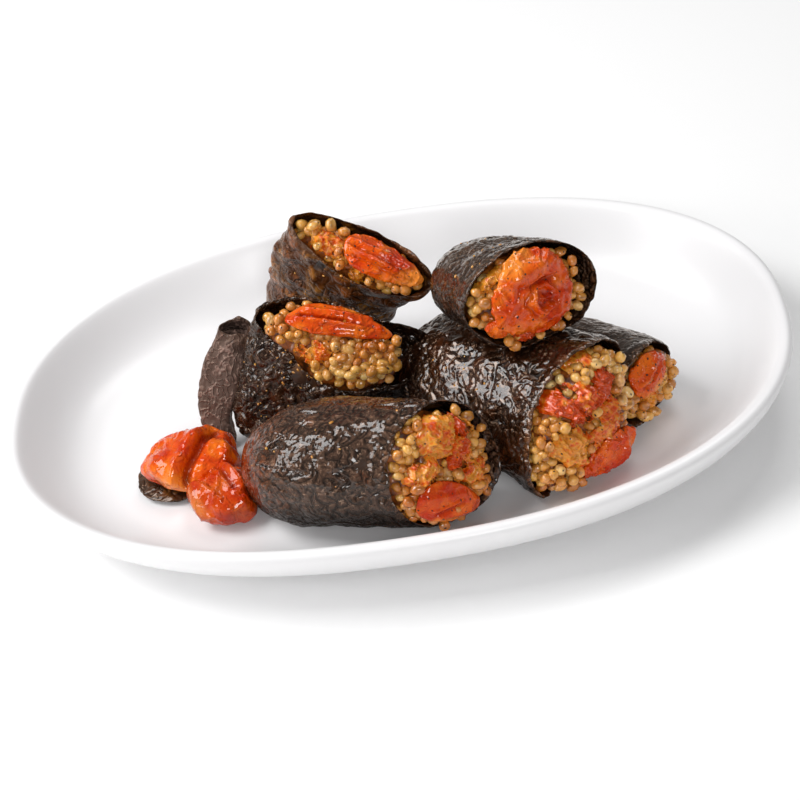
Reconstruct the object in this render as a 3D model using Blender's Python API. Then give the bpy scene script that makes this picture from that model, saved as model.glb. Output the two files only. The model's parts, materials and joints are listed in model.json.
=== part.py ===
"""Six stuffed dried eggplants on a white oval platter, with loose stewed tomatoes.

Metres, +Z up. The origin is under the middle of the platter's foot, X runs along the
platter's long axis and -Y points at the diner. Each eggplant is a dried skin, hollow
from its closed tail to its open mouth, with a core of cooked grain inside it.
"""

import math
import random

import bpy
import bmesh
from mathutils import Vector
from mathutils.bvhtree import BVHTree

MM = 0.001

# Platter
PLATTER_LENGTH = 280 * MM
PLATTER_WIDTH = 192 * MM
OVAL_POWER = 2.3            # 2 is an ellipse, more is squarer at the corners
PLATTER_SIDES = 56
UNDERSIDE = (               # distance in from the edge, height, in millimetres
    (34, 2), (34, 0), (30, 0), (26, 3), (16, 6), (8, 12), (3, 19), (1, 23), (0, 26.4),
)
EATING_SIDE = (
    (1.2, 27.8), (3.5, 28.4), (5.6, 27), (9, 22), (15, 13.5), (25, 7.5), (36, 6),
)

# Eggplants
SKIN_THICKNESS = 1.5 * MM
CORE_GAP = 0.7 * MM         # between a skin and the core inside it
PIECE_GAP = 0.3 * MM        # least gap between any two pieces
PRESS_GAP = 1.1 * MM        # a wall is pressed back this far from what it leans on
LEAST_WEIGHT = 0.2          # of a corner in a spot between rings, for it to be moved
PRESS_ROUNDS = 4            # times that a point is pressed out of all its neighbours
TAIL_SET_BACK = 1.4         # an inner wall starts this many wall thicknesses from the tail
UNEVENNESS = 0.06           # how far a section departs from an ellipse
ROLL_SIDES = 18
SKIN_STATIONS = (0.04, 0.14, 0.3, 0.5, 0.7, 0.88, 1.0)
CORE_STATIONS = (0.14, 0.3, 0.5, 0.7, 0.88, 1.0, 1.01)
DOME_RINGS = (1.0, 0.82, 0.5)

# Filling
GRAIN_RADIUS = 1.9 * MM
GRAIN_SPACING = 4.7 * MM
GRAIN_RISE = 0.5 * MM       # height of a grain's middle above the core
GRAIN_REACH = 1.16          # grains are tried out to this share of the opening
GRAIN_JITTER = 0.4 * MM
GRAIN_TRIES = 240
MOST_GRAINS = 38
ENVELOPE_RISE = 4.5 * MM    # room kept in front of a mouth for its grains and toppings
EDGE_STEP = 0.8 * MM        # depth of the core's last ring but one, below its edge
LIP_WAVE = 0.7              # unevenness of a lip, in millimetres
DROP_WIDTH = 1.6            # above 1, a lip's drop has a broad flat middle
STEEPEST = 0.25             # least share of a face's normal that points out of its mouth
FACE_REACH = 40 * MM        # how far before and behind a mouth its face is looked for
TOPPING_LIFT = 0.45 * MM    # gap under a topping

# Each roll runs on a bow from tail to mouth, through the bow's control point. Points and
# half sizes are in millimetres, aims are azimuth and elevation in degrees, and turn
# twists the section about its aim. Slack, spill and pinch are a direction in the mouth, in
# degrees from its width towards its top, and a distance: where the skin stands off the
# filling, where the filling bulges over a lip that hangs lower by the lip's drop, and
# where the mouth is pressed in.
ROLLS = {
    "front": {
        "tail": (-52.5, -33, 18), "bend": (-19, -52, 28.5), "mouth": (15, -61.5, 29),
        "tail_aim": (-25, 8), "mouth_aim": (-58, 16), "turn": (0, 0),
        "belly": (23, 22), "opening": (21, 23), "round_end": 0.42, "proud": 0.5,
        "bulge": 4, "slack": (-20, 3.5), "spill": (250, 0), "lip": 2, "phase": 0.4,
        "pinch": (0, 0),
    },
    "middle_left": {
        "tail": (-38, -3, 6.8), "bend": (-29, -4, 27), "mouth": (-19, -6, 46),
        "tail_aim": (-85, 75), "mouth_aim": (-82, 52), "turn": (0, -29),
        "belly": (26.5, 15.5), "opening": (29.5, 13), "round_end": 0.26, "proud": 0.5,
        "bulge": 5, "slack": (160, 3), "spill": (-52, 6), "lip": 9, "phase": 2.1,
        "pinch": (236, 5),
    },
    "middle_right": {
        "tail": (7, 10, 25), "bend": (36, -19, 28), "mouth": (61, -47, 28),
        "tail_aim": (-42, 0), "mouth_aim": (-56, 14), "turn": (14, 40),
        "belly": (25, 15.5), "opening": (30, 18.5), "round_end": 0.34, "proud": 0.5,
        "bulge": 7, "slack": (90, 1.5), "spill": (-95, 6), "lip": 12, "phase": 3.3,
        "pinch": (0, 0),
    },
    "far_right": {
        "tail": (50, 19, 14), "bend": (70, 1, 15), "mouth": (86.5, -25, 21),
        "tail_aim": (-42, 0), "mouth_aim": (-46, 6), "turn": (0, 0),
        "belly": (14, 12), "opening": (16, 15), "round_end": 0.4, "proud": -1,
        "bulge": 3, "slack": (120, 1.5), "spill": (0, 0), "lip": 2, "phase": 5.2,
        "pinch": (0, 0),
    },
    "back_left": {
        "tail": (-27, 40, 7.5), "bend": (-21, 34, 43), "mouth": (-3.5, 12, 66),
        "tail_aim": (-90, 55), "mouth_aim": (-85, 50), "turn": (0, -38),
        "belly": (22, 16), "opening": (28, 10), "round_end": 0.34, "proud": -2,
        "bulge": 4, "slack": (100, 2.5), "spill": (-60, 0), "lip": 3, "phase": 1.2,
        "pinch": (250, 2),
    },
    "top_right": {
        "tail": (26, 10, 54), "bend": (39, -8, 62), "mouth": (52, -26, 66),
        "tail_aim": (-55, 16), "mouth_aim": (-68, 14), "turn": (0, -14),
        "belly": (18, 13.5), "opening": (24.5, 18.8), "round_end": 0.4, "proud": -1.5,
        "bulge": 5, "slack": (16, 4), "spill": (230, 0), "lip": 2, "phase": 4.0,
        "pinch": (0, 0),
    },
}

# Pieces laid on the fillings: the roll, then across and up from the mouth's middle, half
# length, half width and thickness in millimetres, and the turn in degrees.
TOPPINGS = {
    "tomato_front": ("front", -4.5, -10.5, 12.5, 6.8, 4.0, -33, "tomato"),
    "flap_front": ("front", 1.5, 12.5, 8.5, 5.5, 2.6, -30, "orange"),
    "tomato_middle_left": ("middle_left", 2.6, 6.0, 18, 4.8, 4.5, 7, "tomato"),
    "tomato_middle_right": ("middle_right", -4.9, -16.5, 8.5, 7.5, 4.5, -40, "tomato"),
    "flap_middle_right": ("middle_right", 13.3, 1.2, 5.5, 4.5, 3.0, 20, "orange"),
    "tomato_far_right": ("far_right", 1.0, 6.0, 8.0, 6.5, 4.0, -7, "tomato"),
    "tomato_back_left": ("back_left", 7.8, 0.4, 14.5, 5.2, 4.5, -1, "tomato"),
    "tomato_top_right": ("top_right", 0.5, 4.5, 13.5, 12.0, 5.5, 70, "tomato"),
    "bit_top_right": ("top_right", -12.5, -8.5, 4.4, 3.6, 3.2, 10, "tomato"),
}

# Loose pieces on the platter: middle, half sizes, heading in degrees and crinkle height.
SCRAP = {"middle": (-81, -21.5, 8.2), "half": (14, 15, 1.6), "heading": 20, "crinkle": 0.05,
         "lift": 0.5}
LOOSE_TOMATOES = {
    "tomato_loose_back": {
        "middle": (-75, -20, 15), "half": (17.5, 13.5, 7.5), "heading": -6, "crinkle": 0.13,
        "lift": 2.4,
    },
    "tomato_loose_front": {
        "middle": (-63.5, -42, 13.5), "half": (12.5, 11.5, 7.5), "heading": -35, "crinkle": 0.15,
        "lift": 0.5,
    },
}
FOLD = {                    # the flattened side of a skin that stands folded beside a roll
    "tail": (-63.5, -8, 6.8), "bend": (-67.5, 2, 25), "mouth": (-52.5, 9, 46),
    "tail_aim": (-75, 60), "mouth_aim": (-60, 50), "turn": (-30, -30),
    "belly": (7.5, 4.8), "opening": (7, 3.5), "round_end": 0.3, "lip": 0, "phase": 0.9,
    "spill": (0, 0), "pinch": (0, 0),
}

COLOURS = {                 # linear RGB and roughness
    "glaze": ((0.86, 0.86, 0.85), 0.12),
    "skin": ((0.035, 0.018, 0.013), 0.35),
    "filling": ((0.48, 0.22, 0.07), 0.45),
    "tomato": ((0.52, 0.06, 0.012), 0.25),
    "orange": ((0.60, 0.17, 0.03), 0.30),
}


def clear_scene():
    for item in list(bpy.data.objects):
        bpy.data.objects.remove(item, do_unlink=True)


def material(name):
    """The finish of one kind of piece, made once."""
    finish = bpy.data.materials.get(name)
    if finish:
        return finish
    colour, roughness = COLOURS[name]
    finish = bpy.data.materials.new(name)
    finish.use_nodes = True
    shader = finish.node_tree.nodes["Principled BSDF"]
    shader.inputs["Base Color"].default_value = (*colour, 1)
    shader.inputs["Roughness"].default_value = roughness
    shader.inputs["Metallic"].default_value = 0
    return finish


def add_object(name, mesh, finish):
    """Links a mesh as a named, smooth-shaded sub-part."""
    mesh.materials.clear()
    mesh.materials.append(material(finish))
    mesh.shade_smooth()
    item = bpy.data.objects.new(name, mesh)
    bpy.data.collections["stuffed_eggplants"].objects.link(item)
    return item


def mesh_from(bm, name):
    """A mesh of triangles from a bmesh, with its faces pointing out of what it encloses."""
    bmesh.ops.recalc_face_normals(bm, faces=bm.faces)
    closed = all(edge.is_manifold for edge in bm.edges)
    if closed and bm.calc_volume(signed=True) < 0:
        bmesh.ops.reverse_faces(bm, faces=bm.faces)
    bmesh.ops.triangulate(bm, faces=bm.faces)
    mesh = bpy.data.meshes.new(name)
    bm.to_mesh(mesh)
    bm.free()
    return mesh


def loft(rings):
    """Joins rings of points, one after the other. A ring of one point is a pole, and an
    end that is a full ring gets a flat face."""
    bm = bmesh.new()
    rows = [[bm.verts.new(point) for point in ring] for ring in rings]
    for low, high in zip(rows, rows[1:]):
        count = max(len(low), len(high))
        for step in range(count):
            after = (step + 1) % count
            corners = [low[step % len(low)], low[after % len(low)],
                       high[after % len(high)], high[step % len(high)]]
            bm.faces.new(dict.fromkeys(corners))
    for row in (rows[0], rows[-1]):
        if len(row) > 1:
            bm.faces.new(row)
    return bm


def tree_of(mesh):
    return BVHTree.FromPolygons([v.co for v in mesh.vertices], [p.vertices for p in mesh.polygons])


def oval(inset, height):
    """The platter's outline, moved in by inset."""
    half_length = PLATTER_LENGTH / 2 - inset * MM
    half_width = PLATTER_WIDTH / 2 - inset * MM
    ring = []
    for step in range(PLATTER_SIDES):
        angle = 2 * math.pi * step / PLATTER_SIDES
        cosine = math.cos(angle)
        sine = math.sin(angle)
        across = math.copysign(abs(cosine) ** (2 / OVAL_POWER), cosine)
        deep = math.copysign(abs(sine) ** (2 / OVAL_POWER), sine)
        ring.append(Vector((half_length * across, half_width * deep, height * MM)))
    return ring


def make_platter():
    """The platter. Returns a tree of its eating side, open below, for food to rest on."""
    rings = [oval(inset, height) for inset, height in UNDERSIDE + EATING_SIDE]
    add_object("platter", mesh_from(loft(rings), "platter"), "glaze")
    eating_side = loft(rings[len(UNDERSIDE) - 1:])
    caps = [face for face in eating_side.faces if len(face.verts) == PLATTER_SIDES]
    eating_side.faces.remove(max(caps, key=lambda face: face.calc_center_median().z))
    return tree_of(mesh_from(eating_side, "eating_side"))


def aim_frame(aim, turn):
    """Unit vectors of a section: its normal, its width and its top."""
    azimuth = math.radians(aim[0])
    elevation = math.radians(aim[1])
    normal = Vector((math.cos(elevation) * math.cos(azimuth),
                     math.cos(elevation) * math.sin(azimuth), math.sin(elevation)))
    side = Vector((-math.sin(azimuth), math.cos(azimuth), 0))
    top = normal.cross(side)
    cosine = math.cos(math.radians(turn))
    sine = math.sin(math.radians(turn))
    return normal, side * cosine + top * sine, top * cosine - side * sine


def section(roll, share):
    """Middle and unit vectors of a roll's section at share of the way to its mouth."""
    tail = Vector(roll["tail"]) * MM
    bend = Vector(roll["bend"]) * MM
    mouth = Vector(roll["mouth"]) * MM
    middle = tail * (1 - share) ** 2 + bend * 2 * share * (1 - share) + mouth * share ** 2
    aim = [a + (b - a) * share for a, b in zip(roll["tail_aim"], roll["mouth_aim"])]
    turn = roll["turn"][0] + (roll["turn"][1] - roll["turn"][0]) * share
    return middle, aim_frame(aim, turn)


def roll_length(roll):
    return (Vector(roll["mouth"]) - Vector(roll["tail"])).length * MM


def toward(angle, direction):
    """How nearly an angle points a way, from 0 to 1, narrow about that way."""
    return max(0.0, math.cos(angle - math.radians(direction))) ** 3


def uneven(roll, angle, share):
    """Scale of a section at an angle, near 1, so that no wall is a true ellipse."""
    phase = roll["phase"]
    wave = 0.5 * math.sin(2 * angle + phase + 2 * share)
    wave += 0.3 * math.sin(3 * angle + 2 * phase - 3 * share)
    wave += 0.2 * math.sin(5 * angle + 3 * phase + 4 * share)
    return 1 + UNEVENNESS * wave


def roll_point(roll, share, angle, inset):
    """A point on a roll's wall, moved in by inset from its outer face."""
    middle, (normal, side, top) = section(roll, share)
    start = TAIL_SET_BACK * inset / roll_length(roll)
    along = max(0.0, (share - start) / (1 - start)) / roll["round_end"]
    rounding = math.sqrt(1 - (1 - min(1.0, along)) ** 2)
    ease = min(1.0, max(0.0, share)) ** 2
    half_width = (roll["belly"][0] * (1 - ease) + roll["opening"][0] * ease) * MM
    half_depth = (roll["belly"][1] * (1 - ease) + roll["opening"][1] * ease) * MM
    scale = uneven(roll, angle, share)
    inset += roll["pinch"][1] * MM * toward(angle, roll["pinch"][0]) * ease
    across = (half_width * scale - inset) * rounding * math.cos(angle)
    up = (half_depth * scale - inset) * rounding * math.sin(angle)
    return middle + side * across + top * up


def lip_share(roll, angle, station):
    """Station of a skin's wall, with the lip dropped where the filling spills."""
    drop = roll["lip"] * min(1, DROP_WIDTH * toward(angle, roll["spill"][0]))
    wave = LIP_WAVE * math.sin(3 * angle + roll["phase"])
    return station - (drop + wave) * MM / roll_length(roll) * station ** 4


def spill_at(roll, angle):
    """How far the filling bulges out over the lip at an angle."""
    return roll["spill"][1] * MM * max(0, toward(angle, roll["spill"][0]) - 0.4) / 0.6


def buried(wall, point):
    """Whether a point is inside a closed wall, or under an open one."""
    upward = Vector((0.03, 0.02, 1)).normalized()
    hit, facing, _, _ = wall.ray_cast(point, upward)
    return bool(hit) and facing.dot(upward) > 0


def press(points, walls, clearance):
    """Moves points out of the walls that they lean on."""
    pressed = []
    for point in points:
        for _ in range(PRESS_ROUNDS):
            for wall in walls:
                near, facing, _, gap = wall.find_nearest(point)
                if buried(wall, point):
                    point = near + (near - point).normalized() * clearance
                elif gap < clearance:
                    point = near + (point - near).normalized() * clearance
        pressed.append(point)
    return pressed


def press_rings(rings, walls, clearance):
    """Presses rings, and then spots over the faces between them, each by moving the
    corners that it depends on most."""
    rings = [press(ring, walls, clearance) for ring in rings]
    thirds = (0, 1 / 3, 2 / 3)
    for low, high in list(zip(rings, rings[1:])) * 2:
        for step in range(len(low)):
            after = (step + 1) % len(low)
            for across, along in [(a, b) for a in thirds for b in thirds if a or b]:
                corners = ((low, step, (1 - across) * (1 - along)),
                           (low, after, across * (1 - along)),
                           (high, step, (1 - across) * along), (high, after, across * along))
                spot = sum((ring[place] * weight for ring, place, weight in corners), Vector())
                shift = press([spot], walls, clearance * 0.75)[0] - spot
                for ring, place, weight in corners:
                    if weight > LEAST_WEIGHT:
                        ring[place] = ring[place] + shift
    return rings


def settle(points, grounds, clearance):
    """Lifts points to lie on whatever is under them."""
    settled = []
    for point in points:
        for ground in grounds:
            above = Vector((point.x, point.y, PLATTER_WIDTH))
            hit = ground.ray_cast(above, Vector((0, 0, -1)))[0]
            if hit and point.z < hit.z + clearance:
                point = Vector((point.x, point.y, hit.z + clearance))
        settled.append(point)
    return settled


def roll_angles():
    """Angles of a section's corners, from its width towards its top."""
    return [2 * math.pi * step / ROLL_SIDES for step in range(ROLL_SIDES)]


def wall_ring(roll, station, inset):
    """One section of a roll's wall."""
    return [roll_point(roll, lip_share(roll, angle, station), angle, inset)
            for angle in roll_angles()]


def tail_point(roll, inset, walls):
    """The pole that closes a roll at its tail."""
    share = TAIL_SET_BACK * inset / roll_length(roll)
    return press([section(roll, share)[0]], walls, PRESS_GAP + inset)


def middle_of(ring):
    return sum(ring, Vector()) / len(ring)


def mouth_normal(roll):
    return section(roll, 1)[1][0]


def make_skin(name, roll, walls):
    """The dried skin: an outer wall, a lip and an inner wall."""
    outer = [wall_ring(roll, station, 0) for station in SKIN_STATIONS]
    inner = [wall_ring(roll, station, SKIN_THICKNESS) for station in SKIN_STATIONS[1:]]
    rings = [tail_point(roll, 0, walls)]
    rings += press_rings(outer, walls, PRESS_GAP)
    rings += press_rings(inner, walls, PRESS_GAP + SKIN_THICKNESS)[::-1]
    rings.append(tail_point(roll, SKIN_THICKNESS, walls))
    return add_object(name, mesh_from(loft(rings), name), "skin")


def core_ring(roll, station):
    """One ring of the filling's core inside the skin. The last two are just inside the
    lip, and level with the face's edge."""
    inset = SKIN_THICKNESS + CORE_GAP
    edge = 1 + roll["proud"] * MM / roll_length(roll)
    below = EDGE_STEP / roll_length(roll)
    points = []
    for angle in roll_angles():
        share = lip_share(roll, angle, min(station, 1))
        if station >= 1:
            share = min(share, edge) - below
        if station > 1:
            share = edge
        slack = roll["slack"][1] * MM * toward(angle, roll["slack"][0]) * share ** 3
        points.append(roll_point(roll, share, angle, inset + slack))
    return points


def dome_ring(roll, edge, ring_share, rise):
    """A ring of the domed face of the filling, between its edge and its middle."""
    normal, side, top = section(roll, 1)[1]
    middle = middle_of(edge)
    ring = []
    for angle, point in zip(roll_angles(), edge):
        outward = side * math.cos(angle) + top * math.sin(angle)
        spill = outward * spill_at(roll, angle) * ring_share ** 2
        height = roll["bulge"] * MM * (1 - ring_share ** 2) + rise
        ring.append(middle + (point - middle) * ring_share + spill + normal * height)
    return ring


def core_rings(roll, walls):
    """The whole core: its wall inside the skin, and its domed face."""
    inset = SKIN_THICKNESS + CORE_GAP
    wall = [core_ring(roll, station) for station in CORE_STATIONS]
    wall = press_rings(wall, walls, PRESS_GAP + inset)
    edge = wall.pop()
    face = [press(dome_ring(roll, edge, share, 0), walls, PRESS_GAP) for share in DOME_RINGS]
    face.append([middle_of(edge) + mouth_normal(roll) * roll["bulge"] * MM])
    return [tail_point(roll, inset, walls)] + wall + face


def envelope(roll, walls):
    """A tree of the room that a whole roll takes, for its neighbours to lean on."""
    beyond = 1.5 * LIP_WAVE * MM / roll_length(roll)
    rings = [[roll_point(roll, station + beyond, angle, 0) for angle in roll_angles()]
             for station in SKIN_STATIONS]
    rings = press_rings(rings, walls, PRESS_GAP)
    edge = rings.pop()
    rings += [dome_ring(roll, edge, share, ENVELOPE_RISE * (1 - share)) for share in DOME_RINGS]
    peak = roll["bulge"] * MM + ENVELOPE_RISE
    rings = [tail_point(roll, 0, walls)] + rings
    rings.append([middle_of(edge) + mouth_normal(roll) * peak])
    return tree_of(mesh_from(loft(rings), "envelope"))


def on_face(roll, core, across, up):
    """The point of a filling's face under a place in the mouth, and its normal, if the
    place is over the face and the face isn't too steep there."""
    middle, (normal, side, top) = section(roll, 1)
    start = middle + side * across + top * up + normal * FACE_REACH
    point, facing, _, _ = core.ray_cast(start, -normal, 2 * FACE_REACH)
    if point and facing.dot(normal) > STEEPEST:
        return point, facing
    return None, None


def near_face(roll, core, across, up):
    """The point of a filling's face under a place, or under the first place towards the
    mouth's middle that is over the face."""
    point = None
    while not point:
        point, _ = on_face(roll, core, across, up)
        across *= 0.94
        up *= 0.94
    return point


def make_topping(name, spec, core, walls):
    """A cooked piece laid on a filling: its underside follows the filling's face."""
    roll_name, across, up, half_length, half_width, thickness, turn, finish = spec
    roll = ROLLS[roll_name]
    normal = mouth_normal(roll)
    angle = math.radians(turn)
    bm = bmesh.new()
    bmesh.ops.create_icosphere(bm, subdivisions=2, radius=1)
    for vertex in bm.verts:
        x, y, z = vertex.co
        curl = 1 + 0.12 * math.sin(3 * math.atan2(y, x) + across)
        along = x * half_length * curl
        beside = y * half_width * curl
        place_across = (across + along * math.cos(angle) - beside * math.sin(angle)) * MM
        place_up = (up + along * math.sin(angle) + beside * math.cos(angle)) * MM
        base = near_face(roll, core, place_across, place_up)
        crease = 1 + 0.25 * math.sin(5 * x + across) * math.cos(3 * y + up)
        lift = TOPPING_LIFT + thickness * MM * crease * (z + 1) / 2
        vertex.co = press([base + normal * lift], walls, PIECE_GAP + 0.2 * MM)[0]
    return add_object(name, mesh_from(bm, name), finish)


def grain_places(roll, core, draw):
    """Even places for grains on a filling's face, the middle ones first."""
    half_width = roll["opening"][0] * MM
    half_depth = roll["opening"][1] * MM
    golden_angle = math.pi * (3 - math.sqrt(5))
    places = []
    for step in range(GRAIN_TRIES):
        reach = GRAIN_REACH * math.sqrt((step + 0.5) / GRAIN_TRIES)
        across = reach * half_width * math.cos(step * golden_angle)
        up = reach * half_depth * math.sin(step * golden_angle)
        across += draw.uniform(-GRAIN_JITTER, GRAIN_JITTER)
        up += draw.uniform(-GRAIN_JITTER, GRAIN_JITTER)
        point, facing = on_face(roll, core, across, up)
        if point:
            places.append(point + facing * GRAIN_RISE)
    return places


def clear_of(place, trees, distance):
    return not any(tree.find_nearest(place, distance)[0] for tree in trees)


def make_grain(place, draw):
    """One cooked grain, an uneven rounded lump."""
    bm = bmesh.new()
    bmesh.ops.create_icosphere(bm, subdivisions=1, radius=GRAIN_RADIUS)
    stretch = Vector((draw.uniform(0.95, 1.15), draw.uniform(0.85, 1.0), draw.uniform(0.85, 1.0)))
    bmesh.ops.scale(bm, vec=stretch, verts=bm.verts)
    mesh = mesh_from(bm, "grain")
    grain = bpy.data.objects.new("grain", mesh)
    grain.rotation_euler = [draw.uniform(0, math.tau) for _ in range(3)]
    grain.location = place
    return grain


def drop_loose_shells(mesh):
    """Keeps the largest connected shell of a mesh."""
    bm = bmesh.new()
    bm.from_mesh(mesh)
    left = set(bm.verts)
    shells = []
    while left:
        shell = set()
        edge = {left.pop()}
        while edge:
            vertex = edge.pop()
            shell.add(vertex)
            for link in vertex.link_edges:
                other = link.other_vert(vertex)
                if other in left:
                    left.discard(other)
                    edge.add(other)
        shells.append(shell)
    shells.sort(key=len)
    scraps = [vertex for shell in shells[:-1] for vertex in shell]
    bmesh.ops.delete(bm, geom=scraps, context="VERTS")
    bmesh.ops.triangulate(bm, faces=bm.faces)
    bm.to_mesh(mesh)
    bm.free()


def fuse_grains(filling, roll, core, obstacles, draw):
    """Joins evenly spread grains to a filling's face with one union."""
    grains = bpy.data.collections.new("grains")
    bpy.context.scene.collection.children.link(grains)
    taken = []
    for place in grain_places(roll, core, draw):
        if len(taken) == MOST_GRAINS:
            break
        if any((place - other).length < GRAIN_SPACING for other in taken):
            continue
        if not clear_of(place, obstacles, GRAIN_RADIUS * 1.15 + PIECE_GAP):
            continue
        taken.append(place)
        grains.objects.link(make_grain(place, draw))
    union = filling.modifiers.new("grains", "BOOLEAN")
    union.operation = "UNION"
    union.operand_type = "COLLECTION"
    union.collection = grains
    union.solver = "EXACT"
    bpy.context.view_layer.update()
    shown = filling.evaluated_get(bpy.context.evaluated_depsgraph_get())
    mesh = bpy.data.meshes.new_from_object(shown)
    filling.modifiers.clear()
    filling.data = mesh
    for grain in list(grains.objects):
        bpy.data.objects.remove(grain, do_unlink=True)
    bpy.data.collections.remove(grains)
    drop_loose_shells(mesh)


def make_lump(name, spec, walls, grounds, finish, subdivisions):
    """A soft crinkled lump that leans on the walls and settles on what is under it."""
    middle = Vector(spec["middle"]) * MM
    heading = math.radians(spec["heading"])
    bm = bmesh.new()
    bmesh.ops.create_icosphere(bm, subdivisions=subdivisions, radius=1)
    points = []
    for vertex in bm.verts:
        x, y, z = vertex.co
        swell = 1 + spec["crinkle"] * math.sin(4 * x + 2 * z) * math.cos(3 * y - z)
        swell += 0.6 * spec["crinkle"] * math.sin(7 * y + 3 * x)
        across = x * spec["half"][0] * swell
        deep = y * spec["half"][1] * swell
        points.append(middle + MM * Vector((
            across * math.cos(heading) - deep * math.sin(heading),
            across * math.sin(heading) + deep * math.cos(heading),
            z * spec["half"][2] * swell)))
    points = settle(press(points, walls, PRESS_GAP), grounds, spec["lift"] * MM)
    for vertex, point in zip(bm.verts, points):
        vertex.co = point
    return add_object(name, mesh_from(bm, name), finish)


def make_fold(walls):
    """The standing fold of skin, pressed flat and closed at both ends."""
    rings = [wall_ring(FOLD, station, 0)[::2] for station in SKIN_STATIONS]
    rings = [tail_point(FOLD, 0, walls)] + press_rings(rings, walls, PRESS_GAP)
    rings.append([middle_of(rings[-1])])
    return add_object("skin_fold_left", mesh_from(loft(rings), "skin_fold_left"), "skin")


def main():
    clear_scene()
    group = bpy.data.collections.new("stuffed_eggplants")
    bpy.context.scene.collection.children.link(group)
    eating_side = make_platter()
    walls = [eating_side]
    fillings = {}
    for name, roll in ROLLS.items():
        skin = make_skin("skin_" + name, roll, walls)
        mesh = mesh_from(loft(core_rings(roll, walls)), "filling_" + name)
        fillings[name] = add_object("filling_" + name, mesh, "filling"), tree_of(mesh)
        walls.append(envelope(roll, walls))
    walls.append(tree_of(make_fold(walls).data))
    walls.remove(eating_side)
    grounds = [eating_side]
    scrap = make_lump("skin_scrap", SCRAP, walls, grounds, "skin", 2)
    grounds.append(tree_of(scrap.data))
    for name, spec in LOOSE_TOMATOES.items():
        tomato = make_lump(name, spec, walls, grounds, "tomato", 3)
        walls.append(tree_of(tomato.data))
    solid = [tree_of(item.data) for item in group.objects if "filling" not in item.name]
    for name, spec in TOPPINGS.items():
        topping = make_topping(name, spec, fillings[spec[0]][1], solid)
        solid.append(tree_of(topping.data))
    draw = random.Random(11)
    for name, roll in ROLLS.items():
        filling, core = fillings[name]
        fuse_grains(filling, roll, core, solid, draw)


main()
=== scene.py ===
# Stuffed dried eggplants and loose stewed tomatoes on an oval porcelain platter
import json
import math
import random
from functools import partial

import bpy
import bmesh
from mathutils import Matrix, Vector, noise
from mathutils.bvhtree import BVHTree

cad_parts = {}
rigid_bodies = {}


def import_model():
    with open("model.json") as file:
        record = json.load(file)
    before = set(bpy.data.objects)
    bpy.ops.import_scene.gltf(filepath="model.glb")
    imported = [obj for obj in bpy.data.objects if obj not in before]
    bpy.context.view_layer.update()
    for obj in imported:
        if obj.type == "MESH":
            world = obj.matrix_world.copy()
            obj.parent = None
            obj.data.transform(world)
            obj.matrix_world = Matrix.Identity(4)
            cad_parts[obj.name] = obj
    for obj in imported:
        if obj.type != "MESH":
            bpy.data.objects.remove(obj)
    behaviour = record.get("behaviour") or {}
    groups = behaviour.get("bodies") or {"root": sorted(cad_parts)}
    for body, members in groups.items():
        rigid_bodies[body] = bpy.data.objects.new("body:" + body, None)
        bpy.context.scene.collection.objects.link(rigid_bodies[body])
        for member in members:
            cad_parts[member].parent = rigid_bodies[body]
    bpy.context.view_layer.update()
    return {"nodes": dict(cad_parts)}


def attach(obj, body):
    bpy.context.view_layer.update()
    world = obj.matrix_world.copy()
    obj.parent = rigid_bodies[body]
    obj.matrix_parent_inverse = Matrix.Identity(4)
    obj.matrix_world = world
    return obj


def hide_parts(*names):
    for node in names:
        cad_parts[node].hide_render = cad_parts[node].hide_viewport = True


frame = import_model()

mm = 0.001
mergeDistance = 0.00001
nodes = frame["nodes"]
noise.seed_set(4)  # noise_vector takes its offsets from this seed, or else from the clock


# colours and nodes

def toLinear(hexColour):
    # "#rrggbb", as the eye sees it, to linear values
    parts = [int(hexColour[place:place + 2], 16) / 255 for place in (1, 3, 5)]
    linear = [part / 12.92 if part <= 0.04045 else ((part + 0.055) / 1.055) ** 2.4 for part in parts]
    return (*linear, 1)


def link(node, links):
    # each input takes an output, or a node's first output in use
    for name, source in links.items():
        if isinstance(source, bpy.types.Node):
            source = next(socket for socket in source.outputs if socket.enabled)
        node.id_data.links.new(source, node.inputs[name])


def addNode(tree, kind, settings=None, links=None):
    node = tree.nodes.new("ShaderNode" + kind)
    for name, value in (settings or {}).items():
        if name == "stops":  # place and colour of each stop of a ramp
            while len(node.color_ramp.elements) < len(value):
                node.color_ramp.elements.new(1)
            for element, (place, colour) in zip(node.color_ramp.elements, value):
                element.position = place
                element.color = toLinear(colour)
        elif isinstance(name, str) and hasattr(node, name):
            setattr(node, name, value)
        else:
            node.inputs[name].default_value = toLinear(value) if isinstance(value, str) else value
    link(node, links or {})
    return node


def newMaterial(name, settings):
    # a material, the function that adds nodes to it, its shader and the object's own coordinates
    made = bpy.data.materials.new(name)
    made.use_nodes = True
    shader = made.node_tree.nodes["Principled BSDF"]
    for socket, value in settings.items():
        shader.inputs[socket].default_value = toLinear(value) if isinstance(value, str) else value
    add = partial(addNode, made.node_tree)
    return made, add, shader, add("TexCoord").outputs["Object"]


# mesh helpers

def cadCopy(node):
    # a CAD node's mesh with its loose triangles merged
    bm = bmesh.new()
    bm.from_mesh(nodes[node].data)
    bmesh.ops.remove_doubles(bm, verts=bm.verts, dist=mergeDistance)
    return bm


def boxOf(bm):
    return [[pick(vertex.co[axis] for vertex in bm.verts) for axis in range(3)] for pick in (min, max)]


def newObject(name, data):
    made = bpy.data.objects.new(name, data)
    bpy.context.scene.collection.objects.link(made)
    return made


def meshObject(name, bm):
    # a bmesh made into an object of the scene
    mesh = bpy.data.meshes.new(name)
    bm.to_mesh(mesh)
    bm.free()
    return newObject(name, mesh)


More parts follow.
